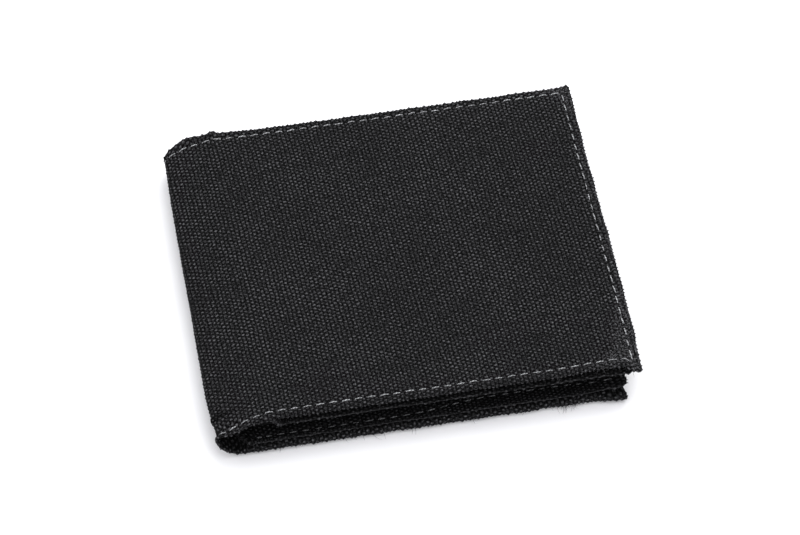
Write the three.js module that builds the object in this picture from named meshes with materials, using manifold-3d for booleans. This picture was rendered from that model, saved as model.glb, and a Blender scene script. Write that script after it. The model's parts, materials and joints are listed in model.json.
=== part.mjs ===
// Bifold wallet in coarse black canvas with contrast stitching, closed and lying on its rear half.
//
// Millimetres, +Z up. The origin is the centre of the closed wallet's footprint on the table.
// +X points to the free ends, -X to the fold, +Y to the mouths of the bill and card pockets.
//
// The wallet is laid out flat first: a rear half, two strips of the spine and a front half, in a
// chain of nested groups. Each group sits on a fold line on the cloth's inner face and is
// turned by that line's share of the half turn, which closes the wallet.

import * as THREE from 'three'
import { mergeVertices } from 'three/addons/utils/BufferGeometryUtils.js'
import Module from 'manifold-3d'

const wasm = await Module()
wasm.setup()

// ---- driving dimensions -------------------------------------------------------------------

const WIDTH = 112 // closed, from the fold to the front half's free end
const DEPTH = 94 // from the sewn bottom edge to the mouth edge
const THICKNESS = 12.5 // closed
const OVERHANG = 4.8 // how far the front half's free end passes the rear half's

const CANVAS = 1.0 // shell cloth
const CORNER_R = 2.5 // corners at the free ends
const CORNER_SEGMENTS = 5
const HEM_WIDTH = 5.5 // cloth turned in along the three edges away from the fold
const HEM_HEIGHT = 1.0
const HEM_START = 5.0 // from the fold line to the hem, which stays clear of the bend

const BACKING = 0.25 // stiffening sheet behind the shell cloth
const LINING = 0.2 // cloth facing the banknotes
const PANEL = 0.6 // inner wall of the bill pocket, which carries the card pockets
const PANEL_TOP = 7 // how far the inner wall stops below the mouth edge
const BEAD_R = 0.8 // rolled edge of the inner wall beside the fold
const BEAD_SIDES = 12
const REAR_PANEL_START = 3.9 // from the fold line to the rear inner wall's rolled edge
const FRONT_PANEL_START = -0.6 // the front one reaches past its fold line

const SHEET = 0.3 // cloth of one card pocket
const SHEET_WIDTH = 88 // takes an 85.6 mm card
const SHEET_HEIGHT = 46 // leaves 8 mm of a 54 mm card showing
const SHEET_STEP = 12 // each pocket mouth stands this far above the next
const SHEET_NAMES = ['back', 'middle', 'front']
const CARD_GAP = 0.85 // room for a 0.76 mm card
const BINDING = 1.0 // tape that closes the sides and bottoms of the card pockets

const LAYER_GAP = 0.05 // air between layers that lie on each other
const FOLD_GAP = 0.05 // each strip stops this far short of its fold line
const CUT_PAST = 1.0 // how far a cutting tool runs past the face that it cuts
const SNAP = 1 / 1024 // corners of joined solids snap to this grid, so that flush faces meet exactly

const THREAD_WIDTH = 0.7
const THREAD_HEIGHT = 0.2
const THREAD_START = 0.7 // from the fold line to the outer seam's ends
const SEAM_SPACE = 1.5 // between the ends of two seams of the inner wall
const BOTTOM_INSET = 3.2 // seam to edge, along the sewn bottom
const SIDE_INSET = 2.2 // seam to edge, along the free end and the mouth
const PANEL_INSET = 3.5 // seam to edge, along the inner wall's own two edges

// The fold: the turn at each fold line, in degrees, which add up to the half turn. The spine
// stands up almost straight beside the rear half, then slopes up to the front half.
const TURNS = [80, 80, 20]
const SLOPE_WIDTH = 12 // width of the sloping strip

// ---- sizes that follow from them ------------------------------------------------------------

const radians = THREE.MathUtils.degToRad
const wallHeading = radians(TURNS[0])
const slopeHeading = radians(TURNS[0] + TURNS[1])
const rise = THICKNESS - 2 * CANVAS
const WALL_WIDTH = (rise - SLOPE_WIDTH * Math.sin(slopeHeading)) / Math.sin(wallHeading)

const spineOut = WALL_WIDTH * Math.cos(wallHeading)
const spineBack = -SLOPE_WIDTH * Math.cos(slopeHeading)
const REAR_FOLD_X = -WIDTH / 2 + CANVAS * Math.sin(wallHeading) + spineOut
const FRONT_FOLD_X = REAR_FOLD_X - spineOut + spineBack
const REAR_LENGTH = WIDTH / 2 - OVERHANG - REAR_FOLD_X
const FRONT_LENGTH = WIDTH / 2 - FRONT_FOLD_X

// Edges across the wallet and heights above a half's outer face.
const BOTTOM = -DEPTH / 2
const MOUTH = DEPTH / 2
const HEM_TOP = CANVAS + HEM_HEIGHT
const BACKING_BASE = CANVAS + LAYER_GAP
const LINING_BASE = BACKING_BASE + BACKING + LAYER_GAP
const PANEL_BASE = HEM_TOP + LAYER_GAP
const PANEL_FACE = PANEL_BASE + PANEL
const TIER = CARD_GAP + SHEET
const GROOVE_WIDTH = THREAD_WIDTH + 2 * LAYER_GAP
const STACK_TOP = PANEL_FACE + SHEET_NAMES.length * TIER
const BINDING_BOTTOM = BOTTOM + HEM_WIDTH + LAYER_GAP
const SHEET_BOTTOM = BINDING_BOTTOM + BINDING + LAYER_GAP

// ---- materials --------------------------------------------------------------------------------

function cloth(name, color, roughness) {
  return new THREE.MeshStandardMaterial({ name, color, roughness, metalness: 0 })
}

const canvasCloth = cloth('canvas', 0x2a2a2c, 0.9)
const backingCloth = cloth('backing', 0x3a3a3a, 0.95)
const liningCloth = cloth('lining', 0x17171a, 0.6)
const pocketCloth = cloth('pocket_cloth', 0x232325, 0.85)
const tapeCloth = cloth('tape', 0x1c1c1e, 0.8)
const threadYarn = cloth('thread', 0xb9bab8, 0.7)

// ---- solids -----------------------------------------------------------------------------------

function bar(x0, x1, y0, y1, z0, z1) {
  const geometry = new THREE.BoxGeometry(Math.abs(x1 - x0), y1 - y0, z1 - z0)
  return geometry.translate((x0 + x1) / 2, (y0 + y1) / 2, (z0 + z1) / 2)
}

function toManifold(geometry) {
  const plain = geometry.clone()
  plain.deleteAttribute('normal')
  plain.deleteAttribute('uv')
  const merged = mergeVertices(plain)
  const vertProperties = merged.attributes.position.array.map((v) => Math.round(v / SNAP) * SNAP)
  const triVerts = new Uint32Array(merged.index.array)
  return new wasm.Manifold(new wasm.Mesh({ numProp: 3, vertProperties, triVerts }))
}

function toGeometry(solid) {
  const mesh = solid.getMesh()
  const geometry = new THREE.BufferGeometry()
  geometry.setAttribute('position', new THREE.BufferAttribute(mesh.vertProperties, 3))
  geometry.setIndex(new THREE.BufferAttribute(mesh.triVerts, 1))
  geometry.computeVertexNormals()
  return geometry
}

// A sheet that starts square at x0 and ends at x1 with rounded corners, lying from z0 to z1.
function sheet(x0, x1, y0, y1, z0, z1) {
  const toward = Math.sign(x1 - x0)
  const shape = new THREE.Shape()
  const centreX = x1 - toward * CORNER_R
  const freeSide = toward > 0 ? 0 : Math.PI
  const clockwise = toward < 0
  shape.moveTo(x0, y0)
  shape.lineTo(centreX, y0)
  shape.absarc(centreX, y0 + CORNER_R, CORNER_R, -Math.PI / 2, clockwise ? -freeSide : freeSide, clockwise)
  shape.absarc(centreX, y1 - CORNER_R, CORNER_R, freeSide, Math.PI / 2, clockwise)
  shape.lineTo(x0, y1)
  shape.closePath()
  const options = { depth: z1 - z0, bevelEnabled: false, curveSegments: CORNER_SEGMENTS }
  return new THREE.ExtrudeGeometry(shape, options).translate(0, 0, z0)
}

// A flat ribbon from z0 to z1 whose middle runs through the given corners, turning square.
// Its two ends run on past the first and last corner by overrun.
function ribbon(corners, width, z0, z1, overrun = 0) {
  const points = corners.map(([x, y]) => new THREE.Vector2(x, y))
  const runs = points.slice(1).map((point, i) => point.clone().sub(points[i]).normalize())
  points[0].addScaledVector(runs[0], -overrun)
  points.at(-1).addScaledVector(runs.at(-1), overrun)
  const side = (run) => new THREE.Vector2(-run.y, run.x).multiplyScalar(width / 2)
  const shifts = points.map((_, i) => {
    const shift = side(runs[Math.max(i - 1, 0)])
    return i > 0 && i < runs.length ? shift.add(side(runs[i])) : shift
  })
  const left = points.map((point, i) => point.clone().add(shifts[i]))
  const right = points.map((point, i) => point.clone().sub(shifts[i]))
  const outline = new THREE.Shape([...right, ...left.reverse()])
  const geometry = new THREE.ExtrudeGeometry(outline, { depth: z1 - z0, bevelEnabled: false })
  return geometry.translate(0, 0, z0)
}

function addMesh(group, name, geometry, material) {
  const mesh = new THREE.Mesh(geometry, material)
  mesh.name = name
  group.add(mesh)
}

// ---- one half, laid flat with its outer face down ---------------------------------------------
// x runs from 0 at the fold line to the free end, which lies towards +X or -X as toward says.

function addShell(group, name, length, toward) {
  const end = toward * length
  const innerEnd = toward * (length - HEM_WIDTH)
  const outer = sheet(toward * FOLD_GAP, end, BOTTOM, MOUTH, 0, CANVAS)
  const rim = sheet(toward * HEM_START, end, BOTTOM, MOUTH, CANVAS, HEM_TOP)
  const wellLow = BOTTOM + HEM_WIDTH
  const wellHigh = MOUTH - HEM_WIDTH
  const well = bar(0, innerEnd, wellLow, wellHigh, CANVAS, HEM_TOP + CUT_PAST)
  const seam = [
    [toward * THREAD_START, BOTTOM + BOTTOM_INSET],
    [toward * (length - SIDE_INSET), BOTTOM + BOTTOM_INSET],
    [toward * (length - SIDE_INSET), MOUTH - SIDE_INSET],
    [toward * THREAD_START, MOUTH - SIDE_INSET],
  ]
  const groove = ribbon(seam, GROOVE_WIDTH, -CUT_PAST, THREAD_HEIGHT + LAYER_GAP, CUT_PAST)
  const hem = toManifold(rim).subtract(toManifold(well))
  const shell = toManifold(outer).add(hem).subtract(toManifold(groove))
  addMesh(group, `${name}_shell`, toGeometry(shell), canvasCloth)
  addMesh(group, `${name}_outer_seam_thread`, ribbon(seam, THREAD_WIDTH, 0, THREAD_HEIGHT), threadYarn)
}

function addLiningLayers(group, name, length, toward) {
  const start = toward * HEM_START
  const end = toward * (length - HEM_WIDTH - LAYER_GAP)
  const low = BOTTOM + HEM_WIDTH + LAYER_GAP
  const high = MOUTH - HEM_WIDTH - LAYER_GAP
  const backing = bar(start, end, low, high, BACKING_BASE, BACKING_BASE + BACKING)
  const lining = bar(start, end, low, high, LINING_BASE, LINING_BASE + LINING)
  addMesh(group, `${name}_backing`, backing, backingCloth)
  addMesh(group, `${name}_lining`, lining, liningCloth)
}

// The inner wall's edge beside the fold is rolled into a bead. One seam sews the wall to the
// shell along the bottom and the free end; another finishes the wall's own two edges.
function addInnerPanel(group, name, length, toward, panelStart) {
  const top = MOUTH - PANEL_TOP
  const beadX = toward * (panelStart + BEAD_R)
  const slab = sheet(beadX, toward * length, BOTTOM, top, PANEL_BASE, PANEL_FACE)
  const bead = new THREE.CylinderGeometry(BEAD_R, BEAD_R, top - BOTTOM, BEAD_SIDES)
  bead.translate(beadX, (top + BOTTOM) / 2, PANEL_BASE + BEAD_R)
  let panel = toManifold(slab).add(toManifold(bead))

  const foldSide = toward * (panelStart + PANEL_INSET)
  const freeSide = toward * (length - SIDE_INSET)
  const bottomSide = BOTTOM + BOTTOM_INSET
  const topSide = top - SIDE_INSET
  const seams = {
    inner_seam_thread: [
      [foldSide, bottomSide],
      [freeSide, bottomSide],
      [freeSide, topSide - SEAM_SPACE],
    ],
    panel_edge_thread: [
      [foldSide, bottomSide + SEAM_SPACE],
      [foldSide, topSide],
      [freeSide - toward * SEAM_SPACE, topSide],
    ],
  }
  const threadBase = PANEL_FACE - THREAD_HEIGHT
  for (const [part, corners] of Object.entries(seams)) {
    const grooveTop = PANEL_FACE + CUT_PAST
    const groove = ribbon(corners, GROOVE_WIDTH, threadBase - LAYER_GAP, grooveTop, LAYER_GAP)
    panel = panel.subtract(toManifold(groove))
    addMesh(group, `${name}_${part}`, ribbon(corners, THREAD_WIDTH, threadBase, PANEL_FACE), threadYarn)
  }
  addMesh(group, `${name}_inner_panel`, toGeometry(panel), pocketCloth)
}

function addCardPockets(group, name, length, toward, panelStart) {
  const middle = toward * (panelStart + length) / 2
  const left = middle - SHEET_WIDTH / 2
  const right = middle + SHEET_WIDTH / 2
  SHEET_NAMES.forEach((tier, i) => {
    const base = PANEL_FACE + CARD_GAP + i * TIER
    const low = SHEET_BOTTOM + (SHEET_NAMES.length - 1 - i) * SHEET_STEP
    const pocket = bar(left, right, low, low + SHEET_HEIGHT, base, base + SHEET)
    addMesh(group, `${name}_card_sheet_${tier}`, pocket, pocketCloth)
  })
  const reach = LAYER_GAP + BINDING / 2
  const highest = SHEET_BOTTOM + (SHEET_NAMES.length - 1) * SHEET_STEP + SHEET_HEIGHT
  const walls = [
    [left - reach, highest],
    [left - reach, BINDING_BOTTOM + BINDING / 2],
    [right + reach, BINDING_BOTTOM + BINDING / 2],
    [right + reach, highest],
  ]
  const tape = ribbon(walls, BINDING, PANEL_FACE + LAYER_GAP, STACK_TOP)
  addMesh(group, `${name}_pocket_binding`, tape, tapeCloth)
}

function makeHalf(name, length, toward, panelStart) {
  const half = new THREE.Group()
  addShell(half, name, length, toward)
  addLiningLayers(half, name, length, toward)
  addInnerPanel(half, name, length, toward, panelStart)
  addCardPockets(half, name, length, toward, panelStart)
  return half
}

// ---- the folded chain -------------------------------------------------------------------------

const wallet = new THREE.Group()

const rear = makeHalf('rear', REAR_LENGTH, 1, REAR_PANEL_START)
rear.position.set(REAR_FOLD_X, 0, 0)
wallet.add(rear)

// Each fold line lies on the cloth's inner face; its group holds everything beyond the line.
function addBeyond(group, x, z, turn) {
  const turned = new THREE.Group()
  turned.position.set(x, 0, z)
  turned.rotation.y = radians(turn)
  group.add(turned)
  return turned
}

function addStrip(group, name, width) {
  const strip = bar(-FOLD_GAP, -width + FOLD_GAP, BOTTOM, MOUTH, -CANVAS, 0)
  addMesh(group, name, strip, canvasCloth)
}

const wall = addBeyond(rear, 0, CANVAS, TURNS[0])
addStrip(wall, 'spine_wall', WALL_WIDTH)

const slope = addBeyond(wall, -WALL_WIDTH, 0, TURNS[1])
addStrip(slope, 'spine_slope', SLOPE_WIDTH)

const front = makeHalf('front', FRONT_LENGTH, -1, FRONT_PANEL_START)
front.position.z = -CANVAS
addBeyond(slope, -SLOPE_WIDTH, 0, TURNS[2]).add(front)

export default wallet
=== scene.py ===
"""Bifold wallet of coarse black canvas with light grey stitching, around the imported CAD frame.

The frame's solids are plain. Here each cloth is built as a cloth: a sheet whose mesh follows its
yarns, whose edges turn in as hems, and which runs round the fold in one piece.

Lengths are millimetres until write_piece turns them into metres. A sheet has two cloth
coordinates: s across the wallet and q from the sewn bottom to the mouth. Depth is measured
inwards from its face.
"""

import json
import math

import bpy
import numpy as np
from mathutils import Matrix, Vector


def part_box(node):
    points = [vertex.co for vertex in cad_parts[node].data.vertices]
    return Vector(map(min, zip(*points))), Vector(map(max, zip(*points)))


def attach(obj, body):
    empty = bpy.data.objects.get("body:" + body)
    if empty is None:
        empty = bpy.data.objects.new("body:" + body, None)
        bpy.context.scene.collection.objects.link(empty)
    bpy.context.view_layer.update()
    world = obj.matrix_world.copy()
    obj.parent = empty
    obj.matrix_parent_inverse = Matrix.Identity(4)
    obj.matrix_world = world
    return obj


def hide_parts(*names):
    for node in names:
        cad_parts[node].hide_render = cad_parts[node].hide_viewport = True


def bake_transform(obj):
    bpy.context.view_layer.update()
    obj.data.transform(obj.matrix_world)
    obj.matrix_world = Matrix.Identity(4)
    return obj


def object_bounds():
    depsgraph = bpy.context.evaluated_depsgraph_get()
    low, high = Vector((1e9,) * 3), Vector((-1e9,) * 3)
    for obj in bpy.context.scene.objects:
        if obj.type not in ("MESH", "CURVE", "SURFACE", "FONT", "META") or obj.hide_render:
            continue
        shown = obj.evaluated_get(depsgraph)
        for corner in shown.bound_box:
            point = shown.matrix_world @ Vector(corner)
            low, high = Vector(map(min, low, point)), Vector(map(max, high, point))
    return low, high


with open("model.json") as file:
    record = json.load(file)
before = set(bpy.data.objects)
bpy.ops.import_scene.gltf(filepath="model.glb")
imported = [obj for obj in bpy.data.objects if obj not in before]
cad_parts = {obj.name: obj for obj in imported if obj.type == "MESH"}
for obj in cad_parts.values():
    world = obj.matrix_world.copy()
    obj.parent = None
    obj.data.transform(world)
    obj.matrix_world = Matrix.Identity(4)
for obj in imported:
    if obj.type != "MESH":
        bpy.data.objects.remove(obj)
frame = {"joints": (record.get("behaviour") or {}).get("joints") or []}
cad_low, cad_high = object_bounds()

MM = 0.001


# ---- sizes read from the frame ----


def node_box(node):
    low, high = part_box(node)
    return np.array(low) / MM, np.array(high) / MM


def hinge_place(name):
    place = next(joint["pos_m"] for joint in frame["joints"] if joint["name"] == name)
    return place[0] / MM, place[2] / MM


rear_low, rear_high = node_box("rear_shell")
front_low, front_high = node_box("front_shell")
NEAR, MOUTH = rear_low[1], rear_high[1]
TOP = front_high[2]
REAR_END, FRONT_END = rear_high[0], front_high[0]
FOLD_END = cad_low[0] / MM
HEM_HEIGHT = rear_high[2] - rear_low[2]
CLOTH = hinge_place("fold_rear")[1]

# ---- canvas ----

WARP_PITCH = 1.11  # between neighbouring yarns, along s
WEFT_PITCH = 0.575  # along q
WEAVE_TURN = math.radians(3.8)  # the weave isn't quite square to the edges
FLOAT_HEIGHT = 0.2  # how far a yarn stands up where it passes over
SUNK_HEIGHT = 0.02  # and where the thinner one passes over
EDGE_SPREAD = 0.9  # how much more a yarn stands up where the cloth turns round an edge
TURNED_IN = 200.0  # added to the distance from an edge on a hem's hidden side, which the canvas material darkens as painted shade
HIDDEN_ANGLES = (2.4, 3.3)  # radians round the turned edge over which it is added
FAR_IN = 9.0  # distance from an edge that stands for a place well away from all of them
HEM_WIDTH = 5.5
MITRE_OVERLAP = 0.6  # of two hems' flaps along a corner's diagonal
BOTTOM_INSET = 2.2  # seam to edge along the sewn bottom
INNER_INSET = 2.1  # the same on the inner walls, beside the fold
SIDE_INSET = 2.2  # seam to edge along the free ends and the mouth
STITCH_PITCH = 3.35
POCKET_STITCH_PITCH = 2.6

CELLS = 512  # the floats' heights repeat after this many yarns
FLOAT_VARIETY = np.random.default_rng(7).uniform(0.55, 1.25, (CELLS, CELLS))
LUMPS = 64  # the slow noise repeats after this many lumps
LUMP_OFFSET = 200  # keeps the lumps' numbers positive
TINY = 1e-6  # millimetres that count as nothing
SMALLEST_QUAD = 1e-3  # square millimetres


def smooth(x, start, end):
    """0 before start, 1 after end, and an even rise between."""
    t = np.clip((x - start) / (end - start), 0, 1)
    return t * t * (3 - 2 * t)


def hill(distance, width):
    """1 at distance 0, falling to nothing a few widths away."""
    return np.exp(-((distance / width) ** 2))


def unit(vectors):
    return vectors / np.linalg.norm(vectors, axis=-1, keepdims=True)


def wander(x, y, size, seed):
    """Smooth noise between about -1 and 1 whose lumps are about the given size."""
    table = np.random.default_rng(seed).uniform(-1, 1, (LUMPS, LUMPS))
    u, v = np.asarray(x) / size + LUMP_OFFSET, np.asarray(y) / size + LUMP_OFFSET
    i, j = np.floor(u).astype(int), np.floor(v).astype(int)
    share_u, share_v = smooth(u - i, 0, 1), smooth(v - j, 0, 1)
    i, j = i % LUMPS, j % LUMPS
    next_i, next_j = (i + 1) % LUMPS, (j + 1) % LUMPS
    near = table[i, j] * (1 - share_u) + table[next_i, j] * share_u
    far = table[i, next_j] * (1 - share_u) + table[next_i, next_j] * share_u
    return near * (1 - share_v) + far * share_v


def to_yarns(s, q):
    """Yarn counts: a yarn crossing has whole numbers on its four sides."""
    c, k = math.cos(WEAVE_TURN), math.sin(WEAVE_TURN)
    return (s * c + q * k) / WARP_PITCH, (q * c - s * k) / WEFT_PITCH


def from_yarns(u, v):
    c, k = math.cos(WEAVE_TURN), math.sin(WEAVE_TURN)
    u, v = u * WARP_PITCH, v * WEFT_PITCH
    return u * c - v * k, u * k + v * c


def woven_height(s, q):
    u, v = to_yarns(s, q)
    over = np.sin(math.pi * u) * np.sin(math.pi * v)
    variety = FLOAT_VARIETY[np.floor(u).astype(int) % CELLS, np.floor(v).astype(int) % CELLS]
    return np.where(over > 0, FLOAT_HEIGHT * over * variety, -SUNK_HEIGHT * over)


def wavered(s, q):
    """Where the yarns really run: none is quite straight, and none is quite in its place."""
    slow_s = 0.14 * wander(s, q, 2.6, 71) + 0.10 * wander(s, q, 0.9, 72)
    slow_q = 0.12 * wander(s, q, 2.9, 73) + 0.06 * wander(s, q, 0.9, 74)
    return s + slow_s, q + slow_q


def woven_grid(s_range, q_range, step):
    """Cloth coordinates and quads of a grid whose lines run step half yarns apart.
    Points outside the two ranges are pulled in to them, which gives a straight outline."""
    corners = [to_yarns(s, q) for s in s_range for q in q_range]
    lows, highs = np.min(corners, axis=0), np.max(corners, axis=0)
    lines = [
        np.arange(math.floor(2 * low / step), math.ceil(2 * high / step) + 1) * step / 2
        for low, high in zip(lows, highs)
    ]
    u, v = np.meshgrid(*lines, indexing="ij")
    s, q = from_yarns(u, v)
    s, q = np.clip(s, *s_range).ravel(), np.clip(q, *q_range).ravel()
    index = np.arange(s.size).reshape(u.shape)
    quads = np.stack(
        [index[:-1, :-1], index[1:, :-1], index[1:, 1:], index[:-1, 1:]], axis=-1
    ).reshape(-1, 4)
    a, b = s[quads], q[quads]
    area = np.abs(np.sum(a * np.roll(b, -1, 1) - np.roll(a, -1, 1) * b, axis=1)) / 2
    return s, q, quads[area > SMALLEST_QUAD]


# ---- pieces ----


def write_piece(name, parts, material, slot):
    """One object from several (points, faces, cloth) parts. Cloth holds three numbers for each
    point, which the materials read: yarn counts u and v, and the distance to the nearest edge."""
    points, faces, cloth, count = [], [], [], 0
    for part_points, part_faces, part_cloth in parts:
        used = np.unique(part_faces)
        place = np.zeros(len(part_points), int)
        place[used] = np.arange(len(used)) + count
        points.append(part_points[used])
        cloth.append(part_cloth[used])
        faces.extend(place[np.asarray(part_faces)].tolist())
        count += len(used)
    mesh = bpy.data.meshes.new(name)
    mesh.from_pydata(np.concatenate(points) * MM, [], faces)
    weave = mesh.attributes.new("weave", "FLOAT_VECTOR", "POINT")
    weave.data.foreach_set("vector", np.concatenate(cloth).astype(np.float32).ravel())
    mesh.materials.append(material)
    mesh.shade_smooth()
    piece = bpy.data.objects.new(name, mesh)
    bpy.context.scene.collection.objects.link(piece)
    return piece


class Sheet:
    """A cloth with its four edges turned in.

    outline: (s_low, s_high, q_low, q_high) of the finished sheet.
    radius(s): radius of the turned edge, which is half of the hem's thickness.
    flap: how far the turned-in cloth reaches back from there.
    place(s, q, depth): the point in the frame, for a place on the sheet's face and a depth.
    relief(s, q): how far the face stands up, apart from its weave.
    drift(s, q): how far a place on the face is shifted in s and q, for edges that aren't true.
    bend(s, q): how far the face and what lies under it are raised together.
    wear(s, q): millimetres by which a place counts as nearer to an edge than it is.
    mirrored: place turns the sheet's s, q and outward direction into a left-handed set.
    """

    def __init__(
        self, outline, radius, flap, place,
        relief=None, drift=None, bend=None, wear=None, mirrored=False,
    ):
        self.outline, self.radius, self.flap, self.place = outline, radius, flap, place
        self.winding = -1 if mirrored else 1
        self.relief = relief or (lambda s, q: 0 * s)
        self.drift = drift or (lambda s, q: (0 * s, 0 * q))
        self.bend = bend or (lambda s, q: 0 * s)
        self.wear = wear or (lambda s, q: 0 * s)
        self.turn = np.max(radius(np.linspace(outline[0], outline[1], 50)))

    def reach(self):
        """Ranges of the cloth coordinates, flaps included."""
        s_low, s_high, q_low, q_high = self.outline
        beyond = (math.pi - 1) * self.turn + self.flap
        return (s_low - beyond, s_high + beyond), (q_low - beyond, q_high + beyond)

    def rolled(self, s, q):
        s_low, s_high, q_low, q_high = self.outline
        radius = self.radius(s)
        in_s = np.clip(s, s_low + radius, s_high - radius)
        in_q = np.clip(q, q_low + radius, q_high - radius)
        u, v = s - in_s, q - in_q
        past = np.hypot(u, v)
        return in_s, in_q, u, v, past, radius

    def point(self, s, q, height=0.0):
        in_s, in_q, u, v, past, radius = self.rolled(s, q)
        share = 1 / np.maximum(past, TINY)
        angle = np.minimum(past / radius, math.pi)
        back = np.maximum(past - math.pi * radius, 0)
        face = np.cos(np.minimum(angle, math.pi / 2))
        reach_s = in_s + (radius * np.sin(angle) - back) * u * share
        reach_q = in_q + (radius * np.sin(angle) - back) * v * share
        lift = height + self.relief(reach_s, reach_q) * face
        out = (radius + lift) * np.sin(angle) - back
        # The flap's raw end turns up towards the cloth that it is folded under.
        raw_end = smooth(back, self.flap - 0.9, self.flap + 0.1) * self.turn * 0.8
        depth = radius - (radius + lift) * np.cos(angle) - raw_end
        # The free ends' flaps lie just under the other two where they cross.
        depth = depth - 0.06 * smooth(np.abs(u), 1.5 * radius, 3 * radius)
        out_s, out_q = in_s + out * u * share, in_q + out * v * share
        return self.put(out_s, out_q, depth)

    def put(self, s, q, depth):
        shift_s, shift_q = self.drift(s, q)
        return np.stack(self.place(s + shift_s, q + shift_q, depth - self.bend(s, q)), axis=-1)

    def cloth(self, s, q):
        """What the materials read at each point: see write_piece."""
        in_s, in_q, _, _, past, radius = self.rolled(s, q)
        s_low, s_high, q_low, q_high = self.outline
        inner = np.minimum.reduce([in_s - s_low, s_high - in_s, in_q - q_low, q_high - in_q])
        edge = np.where(past > 0, radius * np.abs(math.pi / 2 - past / radius), inner)
        # marks the hem's turned-in side, where the canvas material paints shade
        edge = edge + TURNED_IN * smooth(past / radius, *HIDDEN_ANGLES)
        return np.stack([*to_yarns(s, q), edge - self.wear(s, q)], axis=-1)

    def skin(self, step=1, woven=woven_height):
        """The face and its flaps. The corners are mitred: no cloth lies twice over there."""
        s, q, quads = woven_grid(*self.reach(), step)
        *_, past, radius = self.rolled(s, q)
        spread = 1 + EDGE_SPREAD * np.sin(np.clip(past / radius, 0, math.pi))
        points = self.point(*wavered(s, q), woven(s, q) * spread)
        mid_s, mid_q = s[quads].mean(1), q[quads].mean(1)
        in_s, in_q, u, v, past, radius = self.rolled(mid_s, mid_q)
        flat = past - math.pi * radius
        corner = (np.abs(u) > TINY) & (np.abs(v) > TINY) & (flat > 0.1)
        s_low, s_high, q_low, q_high = self.outline
        to_q = np.minimum(in_q - q_low, q_high - in_q)
        to_s = np.minimum(in_s - s_low, s_high - in_s)
        to_next_hem = np.where(np.abs(u) > TINY, to_q, to_s)
        mitred = (flat > 0) & (to_next_hem < flat + radius - MITRE_OVERLAP)
        keep = ~(corner | mitred)
        return points, quads[keep][:, :: self.winding], self.cloth(s, q), mid_s[keep]

    def back(self, s_range, q_range, depth, step, woven=woven_height):
        """The cloth's other face, within the ranges."""
        s, q, quads = woven_grid(s_range, q_range, step)
        points = self.put(*wavered(s, q), depth + woven(s, q))
        cloth = np.stack([*to_yarns(s, q), np.full(s.shape, FAR_IN)], axis=-1)
        return points, quads[:, :: -self.winding], cloth, s[quads].mean(1)


def no_weave(s, q):
    return 0 * s


# ---- stitches ----

STITCH_SHARE = 0.70  # of the pitch is covered by thread
STITCH_WIDTH = 0.31
STITCH_LIFT = 0.3  # how far its middle stands above the cloth
STITCH_DIVE = 0.16  # its ends go this far below the cloth's face
STITCH_SQUASH = 0.72  # its height over its width
PLY_TURNS = 2.6  # half turns of the twist along a stitch
STITCH_RINGS, STITCH_SIDES = 11, 8
FIBRE_WIDTH = 0.1
FIBRE_RINGS, FIBRE_SIDES = 7, 4


def seam_run(start, end, pitch=STITCH_PITCH):
    """Starts and ends of the stitches in a straight run of a seam."""
    start, end = np.array(start, float), np.array(end, float)
    count = max(1, round(float(np.hypot(*(end - start))) / pitch))
    step = (end - start) / count
    first = start + np.arange(count)[:, None] * step
    gap = (1 - STITCH_SHARE) / 2
    return first + gap * step, first + (1 - gap) * step


def curved_run(low, high, seam):
    """The same along a seam whose q depends on s."""
    starts, ends = seam_run((low, 0), (high, 0))
    for end in (starts, ends):
        end[:, 1] = seam(end[:, 0])
    return starts, ends


def tube_points(centre, side, up, spread, sides, squash=1.0):
    """Rings of points round some lines, from each line's two square directions."""
    ring = np.linspace(0, 2 * math.pi, sides, endpoint=False)[:, None]
    around = side[:, :, None] * np.cos(ring) + up[:, :, None] * np.sin(ring) * squash
    return (centre[:, :, None] + around * spread).reshape(-1, 3)


def tube_faces(count, rings, sides):
    """The quads of some closed tubes whose points are numbered by tube, ring and side."""
    index = np.arange(count * rings * sides).reshape(count, rings, sides)
    turned = np.roll(index, -1, axis=2)
    walls = np.stack([index[:, :-1], turned[:, :-1], turned[:, 1:], index[:, 1:]], -1)
    caps = [
        cap[:, [k, k + 1, sides - 2 - k, sides - 1 - k]]
        for cap in (index[:, 0, ::-1], index[:, -1])
        for k in range(sides // 2 - 1)
    ]
    return np.concatenate([walls.reshape(count, -1, 4), np.stack(caps, 1)], 1)


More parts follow.
